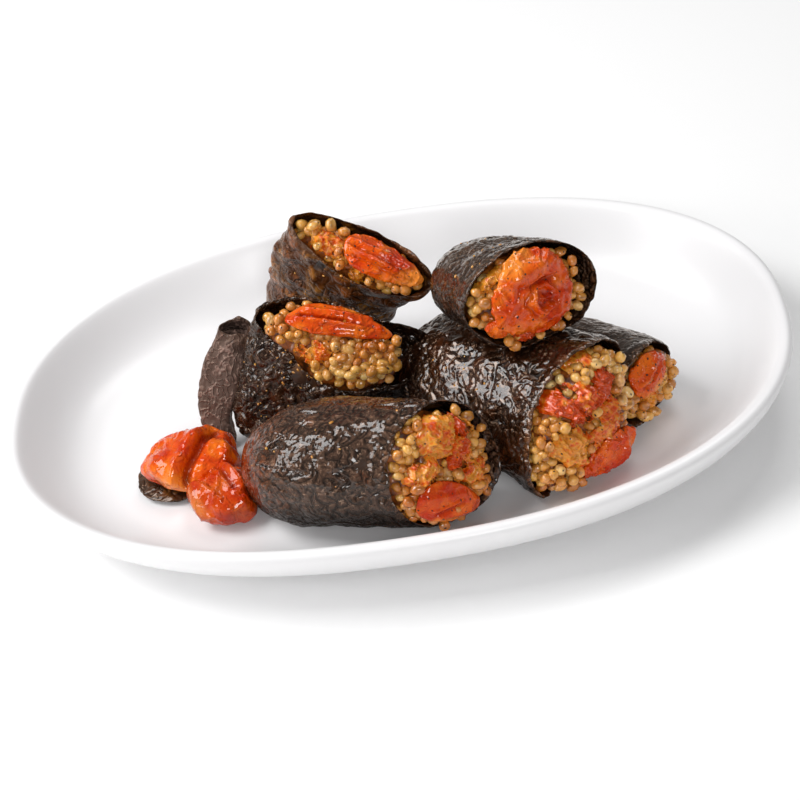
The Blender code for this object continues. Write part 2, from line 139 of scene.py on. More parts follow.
def applied(bm, kind, settings):
    # the bmesh after one modifier
    carrier = meshObject("carrier", bm)
    mesh = carrier.data
    modifier = carrier.modifiers.new(kind, kind)
    for name, value in settings.items():
        setattr(modifier, name, value)
    bpy.context.view_layer.update()
    done = bpy.data.meshes.new_from_object(carrier.evaluated_get(bpy.context.evaluated_depsgraph_get()))
    bpy.data.objects.remove(carrier)
    bpy.data.meshes.remove(mesh)
    result = bmesh.new()
    result.from_mesh(done)
    bpy.data.meshes.remove(done)
    return result


def rounded(bm, levels):
    # rounded by subdivision, and stretched back to the size that it had
    before = boxOf(bm)
    bm = applied(bm, "SUBSURF", {"levels": levels, "render_levels": levels})
    after = boxOf(bm)
    for vertex in bm.verts:
        for axis in range(3):
            share = (vertex.co[axis] - after[0][axis]) / (after[1][axis] - after[0][axis])
            vertex.co[axis] = before[0][axis] + share * (before[1][axis] - before[0][axis])
    return bm


def refine(bm, longest, rounds):
    # halves the edges of outer faces until they are short enough to carry wrinkles
    for _ in range(rounds):
        long = [edge for edge in bm.edges
                if edge.calc_length() > longest
                and any(face.material_index == 0 for face in edge.link_faces)]
        bmesh.ops.subdivide_edges(bm, edges=long, cuts=1, use_grid_fill=True)


def smooth(bm, rounds):
    # each round moves every point halfway to the middle of its neighbours
    for _ in range(rounds):
        bmesh.ops.smooth_vert(bm, verts=bm.verts, factor=0.5, use_axis_x=True, use_axis_y=True,
                              use_axis_z=True)


def addPiece(bm, name, materials, replaced=()):
    piece = meshObject(name, bm)
    for item in materials:
        piece.data.materials.append(item)
    piece.data.shade_smooth()
    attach(piece, "root")
    if replaced:
        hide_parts(*replaced)
    return piece


def treeOf(pieces):
    # one tree of several pieces, to lay things on
    bm = bmesh.new()
    for piece in pieces:
        bm.from_mesh(piece.data)
    tree = BVHTree.FromBMesh(bm)
    bm.free()
    return tree


def floatLayers(bm, *names):
    # one number a point under each name, for the materials to read
    return [bm.verts.layers.float.new(name) for name in names]


def turned(degrees):
    # the cosine and the sine of an angle
    return math.cos(math.radians(degrees)), math.sin(math.radians(degrees))


def smoothStep(low, high, value):
    # 0 up to low, 1 from high on, and an even curve between them
    share = min(1.0, max(0.0, (value - low) / (high - low)))
    return share * share * (3 - 2 * share)


def creaseLine(value, narrowness):
    # 1 along the lines where a noise crosses zero, 0 away from them
    return 1 - min(1.0, abs(value) * narrowness)


# white hard-paste porcelain under a clear glaze: bright, glossy, faintly uneven

platterLook = {"length": 280, "width": 192, "sides": 144, "power": 2.3, "colour": "#f1f0f1",
               "roughness": 0.36, "ripple": 14}
# distance in from the edge and height, in millimetres, from under the platter over its rim
platterProfile = (
    (40, 2), (34.6, 2), (34, 1.2), (33.4, 0), (30.6, 0), (29.4, 0.6), (26, 3), (16, 6), (8, 12),
    (3, 19), (1, 23), (0.1, 26), (0.5, 27.4), (1.6, 28.3), (3.0, 28.4), (4.4, 28), (5.8, 26.8),
    (9, 22), (12, 17.6), (15.5, 13.2), (20, 9.6), (25, 7.5), (31, 6.3), (38, 6),
)


def porcelain():
    made, add, shader, place = newMaterial("glazedPorcelain", {
        "Base Color": platterLook["colour"], "Roughness": platterLook["roughness"], "IOR": 1.5,
        "Coat Weight": 0.2, "Coat Roughness": 0.2})
    ripple = add("TexNoise", {"Scale": 1 / (platterLook["ripple"] * mm), "Detail": 1}, {"Vector": place})
    bump = add("Bump", {"Strength": 0.25, "Distance": 0.15 * mm}, {"Height": ripple})
    link(shader, {"Normal": bump})
    return made


def buildPlatter():
    bm = bmesh.new()
    ring = bmesh.ops.create_circle(bm, cap_ends=True, segments=platterLook["sides"], radius=1)["verts"]
    reach = (platterLook["length"] / 2, platterLook["width"] / 2)
    power = 2 / platterLook["power"]
    inset, height = platterProfile[0]
    for vertex in ring:
        across, deep = (math.copysign(abs(value) ** power, value) for value in vertex.co.xy)
        vertex.co = Vector((across * (reach[0] - inset), deep * (reach[1] - inset), height)) * mm
    edges = list(bm.edges)
    for nextInset, height in platterProfile[1:]:
        grown = bmesh.ops.extrude_edge_only(bm, edges=edges)["geom"]
        edges = [item for item in grown if isinstance(item, bmesh.types.BMEdge)]
        ring = [item for item in grown if isinstance(item, bmesh.types.BMVert)]
        growth = [(half - nextInset) / (half - inset) for half in reach]
        bmesh.ops.scale(bm, vec=(*growth, 1), verts=ring)
        for vertex in ring:
            vertex.co.z = height * mm
        inset = nextInset
    bmesh.ops.holes_fill(bm, edges=edges)
    bmesh.ops.recalc_face_normals(bm, faces=bm.faces)
    addPiece(rounded(bm, 1), "platterGlazed", [porcelain()], ["platter"])


# one roll each, in millimetres and degrees. Its place: the bow from tail to mouth, the way the
# mouth faces and turns, half its width and height, and how much of its middle grains cover. Its
# wrinkles: the plates' size and their stretch along the roll, then the heights of grooves, thin
# creases, folds and cracks. Its finish: how taut the flattest parts are, how light the painted
# shade in the deep creases stays and how dark the painted shade underneath is, the colours,
# roughness and oil, the height, squash and shape of the fine creases, and their sizes, each with
# its lowest and highest point. A pull draws one part out or in: its middle, reach and move
usualSkin = {"turn": 0, "worm": 0.1, "crack": 0.3, "deep": 0.3, "undersideShade": 0.6, "tailAmber": 0.0,
             "patches": 0.1, "squash": (1, 1, 1), "pillow": (0.12, 0.6), "lipReach": 99, "pulls": ()}
rolls = {
    "front": {
        **usualSkin, "tail": (-52.5, -33, 18), "bend": (-19, -52, 28.5), "mouth": (15, -61.5, 29),
        "aim": (-58, 16), "opening": (21, 23), "grains": 0.9,
        "cell": 2.3, "stretch": 1.5, "groove": 0.15, "fold": 1.0, "crack": 1.5,
        "taut": 0.8, "deep": 0.0, "undersideShade": 0.9, "dark": "#433129", "brown": "#715a4e", "amber": "#8c4409",
        "tailAmber": 1.0, "roughness": (0.2, 0.3), "coat": 1.0, "fine": 2.3, "squash": (1, 1, 0.9),
        "pillow": (0.2, 0.85), "curls": ((3.4, 0, 1.0), (1.9, 0, 0.25)),
        "pulls": (((-57, -27, 25), 8, (-3.5, 1.5, 1.5)),),
    },
    "middle_left": {
        **usualSkin, "tail": (-38, -3, 6.8), "bend": (-29, -4, 27), "mouth": (-19, -6, 46),
        "aim": (-82, 52), "turn": -29, "opening": (29.5, 13), "lipReach": 15, "grains": 1.1,
        "cell": 4.6, "stretch": 1.0, "groove": 0.8, "fold": 1.6,
        "taut": 0.5, "undersideShade": 0.5, "dark": "#170b05", "brown": "#40230f", "amber": "#80501a",
        "patches": 0.15, "roughness": (0.16, 0.28), "coat": 0.9, "fine": 0.7,
        "curls": ((4.2, 0, 1.0), (2.2, 0, 0.5)),
        "pulls": (((8, -10, 38), 17, (9, 6, -2)), ((-2, -10, 20), 18, (11, 0, 0))),
    },
    "middle_right": {
        **usualSkin, "tail": (7, 10, 25), "bend": (36, -19, 28), "mouth": (61, -47, 28),
        "aim": (-56, 14), "turn": 40, "opening": (28.5, 17), "grains": 0.75,
        "cell": 3.0, "stretch": 1.25, "groove": 0.35, "worm": 0.05, "fold": 1.2, "crack": 0.2,
        "taut": 0.15, "dark": "#180d07", "brown": "#472715", "amber": "#6c3614",
        "roughness": (0.18, 0.28), "coat": 1.0, "fine": 0.8, "squash": (1, 1, 0.8),
        "curls": ((4.6, 0, 1.0), (2.2, 0, 0.3)),
    },
    "far_right": {
        **usualSkin, "tail": (50, 19, 14), "bend": (70, 1, 15), "mouth": (86.5, -25, 21),
        "aim": (-46, 6), "opening": (14.5, 13.5), "grains": 0.95,
        "cell": 2.6, "stretch": 1.6, "groove": 0.2, "fold": 0.7, "crack": 0.4,
        "taut": 0.5, "deep": 0.2, "dark": "#1e130c", "brown": "#42291a", "amber": "#5f3416",
        "roughness": (0.22, 0.34), "coat": 0.6, "fine": 0.6, "squash": (1, 1, 0.9),
        "curls": ((3.2, 0, 1.0),),
    },
    "back_left": {
        **usualSkin, "tail": (-27, 40, 7.5), "bend": (-21, 34, 43), "mouth": (-3.5, 12, 66),
        "aim": (-85, 50), "turn": -38, "opening": (28, 10), "grains": 0.8,
        "cell": 6.5, "stretch": 1.0, "groove": 0.3, "worm": 0.0, "fold": 1.8, "crack": 0.0,
        "taut": 0.4, "undersideShade": 0.2, "dark": "#351907", "brown": "#84481a", "amber": "#ba7a28",
        "patches": 0.6, "roughness": (0.24, 0.34), "coat": 0.3, "fine": 0.8,
        "curls": ((5.0, 0, 1.0), (2.4, 0, 0.5)),
    },
    "top_right": {
        **usualSkin, "tail": (26, 10, 54), "bend": (39, -8, 62), "mouth": (52, -26, 66),
        "aim": (-68, 14), "turn": -14, "opening": (24.5, 18.8), "grains": 0.95,
        "cell": 2.6, "stretch": 1.2, "groove": 0.25, "fold": 0.9,
        "taut": 0.7, "deep": 0.15, "dark": "#2a1b13", "brown": "#523a29", "amber": "#74481c",
        "patches": 0.12, "roughness": (0.22, 0.34), "coat": 0.9, "fine": 1.6, "squash": (1, 1, 0.9),
        "pillow": (0.2, 0.85), "curls": ((3.0, 0, 1.0), (1.7, 0, 0.3)),
    },
}
# the flattened side of skin that stands folded at the left, drier and greyer than the rest. Its
# open end is hollow: half the hollow's width, half its height and its depth
foldLook = {
    **usualSkin, "tail": (-63.5, -8, 6.8), "mouth": (-52.5, 9, 46), "aim": (-60, 50), "turn": -30,
    "cell": 2.2, "stretch": 3.0, "groove": 0.3, "fold": 0.6,
    "taut": 0.9, "deep": 0.35, "undersideShade": 0.3, "dark": "#8b7065", "brown": "#b79b90", "amber": "#9b7a66",
    "patches": 0.05, "roughness": (0.36, 0.46), "coat": 0.1, "fine": 0.7, "squash": (1, 1, 0.45),
    "curls": ((1.9, 1.0, 0),), "hollow": (6.2, 2.9, 9),
    "pulls": (((-56, 4, 42), 13, (4.5, -1, 0)), ((-58, 0, 28), 14, (3.5, -1, 0))),
}
scrapLook = {
    **usualSkin, "tail": (-95, -27, 8), "mouth": (-67, -16, 8), "aim": (20, 0),
    "cell": 2.6, "stretch": 1.2, "groove": 0.25, "fold": 0.4, "crack": 0.0,
    "taut": 0.7, "undersideShade": 0.3, "dark": "#2b190c", "brown": "#573618", "amber": "#85551f",
    "patches": 0.3, "roughness": (0.24, 0.36), "coat": 0.5, "fine": 0.35,
    "curls": ((3.4, 0, 1.0),),
}
# how a skin's mesh is rounded, then cut to edges of this length, in this many rounds
skinMesh = {"levels": 3, "longest": 0.62, "rounds": 3}
bowSteps = 16


def bowOf(roll):
    # points along the middle of a roll, from its tail to its mouth
    tail, bend, mouth = (Vector(roll[name]) * mm for name in ("tail", "bend", "mouth"))
    shares = [step / bowSteps for step in range(bowSteps + 1)]
    return [tail * (1 - s) ** 2 + bend * 2 * s * (1 - s) + mouth * s ** 2 for s in shares]


def mouthFrame(roll):
    # the mouth's middle, the way it faces, its width and its top
    (cosRound, sinRound), (cosUp, sinUp) = (turned(angle) for angle in roll["aim"])
    normal = Vector((cosUp * cosRound, cosUp * sinRound, sinUp))
    side = Vector((-sinRound, cosRound, 0))
    top = normal.cross(side)
    cosine, sine = turned(roll["turn"])
    return Vector(roll["mouth"]) * mm, normal, side * cosine + top * sine, top * cosine - side * sine


def driedSkin(name, look):
    # eggplant skin, dried and stewed: brown-black and leathery, glossy with oil where it is
    # wet, amber where light comes through it, with painted shade in its grooves, creases and
    # undersides, and a painted highlight of lighter brown along its lip
    made, add, shader, place = newMaterial(name + "Skin", {
        "IOR": 1.5, "Specular Tint": "#ffdcc4", "Coat Roughness": 0.06, "Coat IOR": 1.47,
        "Coat Tint": "#fff0e0"})
    crease, tail, lip, under = (add("Attribute", {"attribute_name": item}).outputs["Fac"]
                                for item in ("crease", "tail", "lip", "under"))
    # noises for the colours, the gloss and the relief: size in millimetres and detail
    clouds, stains, streaks, damp, warp, pores, slack = (
        add("TexNoise", {"Scale": 1 / (size * mm), "Detail": detail}, {"Vector": place})
        for size, detail in ((9, 3), (11, 4), (6, 3), (5, 3), (4, 1), (0.9, 1), (15, 1)))
    stained = add("MapRange", {"From Min": 0.68 - 0.3 * look["patches"],
                               "From Max": 0.86 - 0.3 * look["patches"]}, {"Value": stains})
    streaked = add("MapRange", {"From Min": 0.2, "From Max": 0.42, "To Max": look["tailAmber"]},
                   {"Value": streaks})
    atTail = add("Math", {"operation": "MULTIPLY"}, {0: tail, 1: streaked})
    # painted highlight: a lighter brown along the lip's edge
    lipHighlight = add("MapRange", {"From Min": 0.4, "To Max": 0.7}, {"Value": lip})
    # painted shade: the mesh's grooves, creases and cracks are mixed darker
    groove = add("MapRange", {"From Min": 0.1, "From Max": 0.8, "To Max": 0.8}, {"Value": crease})
    # painted shade: the undersides are darker, and their coat and specular are turned down
    undersideShade = add("Math", {"operation": "MULTIPLY", 1: look["undersideShade"]}, {0: under})
    base = add("ValToRGB", {"stops": ((0.35, look["dark"]), (0.65, look["brown"]))}, {"Fac": clouds})
    # amber is the skin's own; the lighter lip is a painted highlight, darker grooves and undersides
    # painted shade
    for colour, share in ((look["amber"], stained), (look["amber"], atTail), ("#6f4c33", lipHighlight),
                          (look["dark"], groove), ("#120a05", undersideShade)):
        base = add("Mix", {"data_type": "RGBA", 7: colour}, {0: share, 6: base})
    gloss = add("MapRange", {"From Min": 0.3, "From Max": 0.7, "To Min": look["roughness"][0],
                             "To Max": look["roughness"][1]}, {"Value": damp})
    coat = add("MapRange", {"To Min": look["coat"], "To Max": 0.1 * look["coat"]}, {"Value": under})
    level = add("MapRange", {"To Min": 0.5, "To Max": 0.12}, {"Value": under})
    # creases too fine for the mesh: curled lines between little raised folds, bumped, with painted shade
    # in the lines
    pushed = add("VectorMath", {"operation": "MULTIPLY_ADD", 1: (0.004, 0.004, 0.004)},
                 {0: warp.outputs["Color"], 2: place})
    pushed = add("VectorMath", {"operation": "MULTIPLY", 1: look["squash"]}, {0: pushed})
    relief = add("Math", {"operation": "MULTIPLY", 1: 0.12}, {0: pores})
    widest, power = look["pillow"]
    for size, low, high in look["curls"]:
        curls = add("TexNoise", {"Scale": 1 / (size * mm), "Detail": 0}, {"Vector": pushed})
        centred = add("Math", {"operation": "SUBTRACT", 1: 0.5}, {0: curls})
        folded = add("Math", {"operation": "ABSOLUTE"}, {0: centred})
        share = add("MapRange", {"From Max": widest}, {"Value": folded})
        pillow = add("Math", {"operation": "POWER", 1: power}, {0: share})
        raised = add("Math", {"operation": "MULTIPLY_ADD", 1: high - low, 2: low}, {0: pillow})
        relief = add("Math", {"operation": "ADD"}, {0: relief, 1: raised})
    # painted shade: the low parts of the relief are mixed towards near black
    depth = add("MapRange", {"From Min": 0.1, "From Max": 0.8, "To Min": look["deep"]}, {"Value": relief})
    base = add("Mix", {"data_type": "RGBA", 6: "#100804"}, {0: depth, 7: base})
    strength = add("MapRange", {"From Min": 0.36, "From Max": 0.56, "To Min": look["taut"]},
                   {"Value": slack})
    bump = add("Bump", {"Distance": look["fine"] * mm}, {"Height": relief, "Strength": strength})
    link(shader, {"Base Color": base, "Roughness": gloss, "Coat Weight": coat,
                  "Specular IOR Level": level, "Normal": bump})
    return made


def skinInside():
    # the flesh side of the skin: brown and amber, damp, with soft fibres
    made, add, shader, place = newMaterial("skinInside", {
        "IOR": 1.4, "Roughness": 0.34, "Coat Weight": 0.35, "Coat Roughness": 0.18})
    clouds, fibres = (add("TexNoise", {"Scale": 1 / (size * mm), "Detail": 4}, {"Vector": place})
                      for size in (6, 1.2))
    base = add("ValToRGB", {"stops": ((0.36, "#1d110a"), (0.55, "#3b2312"), (0.72, "#6b4420"))},
               {"Fac": clouds})
    bump = add("Bump", {"Strength": 0.7, "Distance": 0.3 * mm}, {"Height": fibres})
    link(shader, {"Base Color": base, "Normal": bump})
    return made


def markInside(bm, roll):
    # faces that look at the far side of their own skin, past the roll's middle, take the second
    # material
    bow = bowOf(roll)
    tree = BVHTree.FromBMesh(bm)
    for face in bm.faces:
        middle = face.calc_center_median()
        nearest = min(bow, key=lambda point: (point - middle).length)
        inward = face.normal.dot((middle - nearest).normalized()) < 0
        across = tree.ray_cast(middle + face.normal * 0.1 * mm, face.normal)[0]
        face.material_index = 1 if inward and across else 0


def pullSides(bm, roll):
    for vertex in bm.verts:
        for centre, reach, pull in roll["pulls"]:
            share = smoothStep(1, 0, (vertex.co / mm - Vector(centre)).length / reach)
            vertex.co += Vector(pull) * share * mm


def hollowEnd(bm, roll):
    halfWidth, halfHeight, depth = roll["hollow"]
    mouth, facing, side, top = mouthFrame(roll)
    for vertex in bm.verts:
        spot = (vertex.co - mouth) / mm
        away = math.hypot(spot.dot(side) / halfWidth, spot.dot(top) / halfHeight)
        share = smoothStep(1, 0.55, away) * smoothStep(-2.5, -0.5, spot.dot(facing))
        vertex.co -= facing * depth * share * mm


def wrinkle(bm, roll, seed):
    # moves a skin's points along their normals: plates between grooves, thin worm-like
    # creases, soft folds and long cracks, and a wavy lip
    crease, lip, tail, under = floatLayers(bm, "crease", "lip", "tail", "under")
    bow = Vector(roll["mouth"]) - Vector(roll["tail"])
    axis = bow.normalized()
    start = Vector(roll["tail"]) * mm
    mouth, facing = mouthFrame(roll)[:2]
    shift = Vector((seed * 7.3, seed * 3.1, seed * 5.7))
    moves = []
    for vertex in bm.verts:
        place = vertex.co / mm
        along = axis * place.dot(axis)
        drawn = place - along * (1 - 1 / roll["stretch"])
        spot = drawn / roll["cell"] + shift
        spot = spot + noise.noise_vector(spot * 0.7) * 0.8
        near = noise.voronoi(spot)[0]
        plate = smoothStep(0, 0.4, near[1] - near[0])
        worm = creaseLine(noise.noise(spot * 1.15 + shift), 5) ** 1.5
        fold = noise.noise(drawn * 0.11 + shift) + 0.5 * noise.noise(drawn * 0.23 + shift)
        strands = (place - along * 0.88) * 0.2 + shift
        crack = smoothStep(0.2, 1, creaseLine(noise.noise(strands), 11))
        crack *= smoothStep(-0.1, 0.25, noise.noise(place * 0.07 + shift))
        outer = any(face.material_index == 0 for face in vertex.link_faces)
        share = 1.0 if outer else 0.35
        height = (plate - 0.6) * roll["groove"] - worm * roll["worm"]
        height += fold * roll["fold"] - crack * roll["crack"]
        fromMouth = (mouth - vertex.co).dot(facing) / mm
        nearLip = smoothStep(5, 0, fromMouth)
        away = (vertex.co - mouth).length / mm / roll["lipReach"]
        # the lip mask carries a painted highlight, the under and crease masks carry painted shade
        vertex[lip] = smoothStep(1.6, 0.2, fromMouth) * smoothStep(1.25, 1.1, away)
        vertex[under] = smoothStep(0.25, -0.35, vertex.normal.z)
        vertex[crease] = min(1.0, (1 - plate) * 0.8 + worm * 0.8 + crack)
        vertex[tail] = smoothStep(0.45, 0.08, (vertex.co - start).dot(axis) / (bow.length * mm))
        wave = noise.noise(place * 0.14 + shift) * 2.2 + noise.noise(place * 0.45 + shift) * 0.9
        move = vertex.normal * height * share * (1 - 0.4 * nearLip) + facing * wave * nearLip
        moves.append((vertex, move * mm))
    for vertex, move in moves:
        vertex.co += move


def buildSkin(name, look, seed, inside):
    bm = cadCopy("skin_" + name)
    if inside:
        markInside(bm, look)
    bmesh.ops.join_triangles(
        bm, faces=bm.faces, cmp_seam=False, cmp_sharp=False, cmp_uvs=False, cmp_vcols=False,
        cmp_materials=True, angle_face_threshold=math.radians(100), angle_shape_threshold=math.pi)
    bm = rounded(bm, skinMesh["levels"])
    refine(bm, skinMesh["longest"] * mm, skinMesh["rounds"])
    pullSides(bm, look)
    if "hollow" in look:
        hollowEnd(bm, look)
    bm.normal_update()
    wrinkle(bm, look, seed)
    materials = [driedSkin(name, look)] + ([inside] if inside else [])
    return addPiece(bm, "skinDried_" + name, materials, ["skin_" + name])


# cooked pearl grains, about 3.5 mm across, tan and golden, packed close and glistening. Each
# layer of them: how far out of the pulp, how far apart, its share and its reach. Their middles
# stay clear of skins and tomatoes, and of the mush that covers them, by shares of the radius,
# and a roll's own share of grains holds inside the middle of its mouth

grainLook = {"radius": 1.95, "tries": 3000, "reach": 1.2, "dent": 0.26, "seam": 0.14,
             "clear": 0.92, "covered": 0.62, "middle": 0.78,
             "layers": ((-0.7, 3.05, 1.0, 1.2), (1.0, 3.2, 0.75, 1.02), (2.4, 3.4, 0.4, 0.9))}
# the pulp under them, in millimetres: its mesh, its rounds of smoothing and how far it sinks
coreLook = {"voxel": 1.2, "smoothing": 22, "sink": 1.0}
castFrom = 40  # millimetres out of a mouth, where the rays onto its filling start


def cookedGrain():
    made, add, shader, place = newMaterial("cookedGrain", {
        "Subsurface Weight": 0.3, "Subsurface Radius": (1.0, 0.7, 0.35), "Subsurface Scale": 0.001,
        "IOR": 1.45, "Roughness": 0.2, "Coat Weight": 1, "Coat Roughness": 0.06})
    tone, stain, seam = (add("Attribute", {"attribute_name": item}).outputs["Fac"]
                         for item in ("tone", "stain", "seam"))
    sauce, skinned = (add("TexNoise", {"Scale": 1 / (size * mm), "Detail": detail}, {"Vector": place})
                      for size, detail in ((1.8, 3), (1.3, 2)))
    sauced = add("MapRange", {"From Min": 0.52, "From Max": 0.72, "To Max": 0.65}, {"Value": sauce})
    # painted shade: a darker brown along each grain's creased seam
    seamShade = add("Math", {"operation": "MULTIPLY", 1: 0.6}, {0: seam})
    base = add("ValToRGB", {"stops": ((0, "#ae6c2a"), (0.3, "#dc9c42"), (0.7, "#f0ba5e"),
                                      (1, "#f8d690"))}, {"Fac": tone})
    for colour, share in (("#cf6f1c", stain), ("#9c5a1e", sauced), ("#6e3d14", seamShade)):
        base = add("Mix", {"data_type": "RGBA", 7: colour}, {0: share, 6: base})
    bump = add("Bump", {"Strength": 0.8, "Distance": 0.4 * mm}, {"Height": skinned})
    link(shader, {"Base Color": base, "Normal": bump})
    return made


def fillingPulp():
    # broken grain and tomato between the whole grains: its own browns, painted
    # darker as the shade in the gaps between the grains
    made, add, shader, place = newMaterial("fillingPulp", {
        "IOR": 1.4, "Roughness": 0.35, "Coat Weight": 0.4, "Coat Roughness": 0.12})
    clouds, crumbs = (add("TexNoise", {"Scale": 1 / (size * mm), "Detail": 4}, {"Vector": place})
                      for size in (3, 1.1))
    base = add("ValToRGB", {"stops": ((0.36, "#4a240c"), (0.52, "#8f4a18"), (0.68, "#c06a22"))},
               {"Fac": clouds})
    bump = add("Bump", {"Strength": 0.8, "Distance": 0.4 * mm}, {"Height": crumbs})
    link(shader, {"Base Color": base, "Normal": bump})
    return made


def buildCore(name, pulp):
    # the filling without its grains: remeshed, smoothed and sunk to leave room for new ones
    bm = cadCopy("filling_" + name)
    bm = applied(bm, "REMESH", {"mode": "VOXEL", "voxel_size": coreLook["voxel"] * mm})
    smooth(bm, coreLook["smoothing"])
    surface = BVHTree.FromBMesh(bm)
    bm.normal_update()
    for vertex in bm.verts:
        relief = noise.noise(vertex.co / mm * 0.13) * 1.8 + noise.noise(vertex.co / mm * 0.4) * 0.8
        vertex.co += vertex.normal * (relief - coreLook["sink"]) * mm
    addPiece(bm, "pulp_" + name, [pulp], ["filling_" + name])
    return surface


def grainAt(bm, place, draw):
    # one grain: a ball squeezed, dented, creased along one side and turned
    size = grainLook["radius"] * draw.uniform(0.85, 1.12) * mm
    stretch = Matrix.Diagonal((draw.uniform(1.0, 1.28), draw.uniform(0.88, 1), draw.uniform(0.85, 1)))
    turn = Matrix.Rotation(draw.uniform(0, math.tau), 3, Vector([draw.gauss(0, 1) for _ in range(3)]))
    made = bmesh.ops.create_icosphere(bm, subdivisions=2, radius=1)["verts"]
    shift = Vector([draw.uniform(0, 50) for _ in range(3)])
    seam = bm.verts.layers.float["seam"]
    for vertex in made:
        spot = vertex.co.copy()
        dent = noise.noise(spot * 0.8 + shift) + 0.4 * noise.noise(spot * 1.9 + shift)
        vertex[seam] = math.exp(-(spot.y / 0.35) ** 2) * smoothStep(0, 0.7, spot.z)
        grown = 1 + grainLook["dent"] * dent - grainLook["seam"] * vertex[seam]
        vertex.co = place + turn @ stretch @ spot * (grown * size)
    return made


def dropOnto(surface, opening, across, up, reach):
    # the place on a filling, across and up from its mouth's middle, and the normal there
    mouth, normal, side, top = opening
    start = mouth + (side * across + top * up + normal * castFrom) * mm
    return surface.ray_cast(start, -normal, reach)[:2]


def mouthSpots(roll, surface, tries, reach, draw):
    # even places on what fills a mouth, from its middle outwards: each one's number, place and
    # normal
    opening = mouthFrame(roll)
    spots = []
    for step in range(tries):
        radius = reach * math.sqrt((step + 0.5) / tries)
        angle = step * math.pi * (3 - math.sqrt(5))
        across = roll["opening"][0] * radius * math.cos(angle) + draw.uniform(-0.3, 0.3)
        up = roll["opening"][1] * radius * math.sin(angle) + draw.uniform(-0.3, 0.3)
        hit, facing = dropOnto(surface, opening, across, up, 0.09)
        if hit and facing.dot(opening[1]) > 0.1:
            spots.append((step, hit, facing))
    return spots


def buildGrains(name, roll, surface, fences, covers, stainers, grainFinish, draw):
    # layers of grains, each clear of the skins and of the pieces that lie on the filling
    bm = bmesh.new()
    tone, stain, _ = floatLayers(bm, "tone", "stain", "seam")
    spots = mouthSpots(roll, surface, grainLook["tries"], grainLook["reach"], draw)
    taken = []
    mouth, _, side, top = mouthFrame(roll)
    width, height = (value * mm for value in roll["opening"])
    radius = grainLook["radius"] * mm
    for rise, spacing, keep, reach in grainLook["layers"]:
        for step, hit, facing in spots:
            chance = random.Random(f"{name} {rise} {step}")
            place = hit + facing * (rise + chance.uniform(-0.4, 0.4)) * mm
            apart = spacing * chance.uniform(0.82, 1.08) * mm
            away = math.hypot((place - mouth).dot(side) / width, (place - mouth).dot(top) / height)
            if away > reach:
                continue
            if away < grainLook["middle"] and noise.noise(place / mm * 0.17) + 0.5 > roll["grains"]:
                continue
            if keep < 1 and noise.noise(place / mm * 0.22) * 1.4 > keep - 0.5:
                continue
            if any((place - other).length_squared < apart * apart for other in taken):
                continue
            if any(tree.find_nearest(place, radius * grainLook["clear"])[0] for tree in fences):
                continue
            if any(tree.find_nearest(place, radius * grainLook["covered"])[0] for tree in covers):
                continue
            taken.append(place)
            redness = 0.0
            for tree in stainers:
                redness = max(redness, 0.8 * math.exp(-tree.find_nearest(place)[3] / mm / 3.5))
            redness = min(1.0, redness + 0.5 * smoothStep(0.0, 0.4, noise.noise(place / mm * 0.13)))
            shade = chance.betavariate(2, 2)
            for vertex in grainAt(bm, place, chance):
                vertex[tone] = shade
                vertex[stain] = redness
    print("grains in", name, len(taken))
    return addPiece(bm, "grains_" + name, [grainFinish], ["filling_" + name])
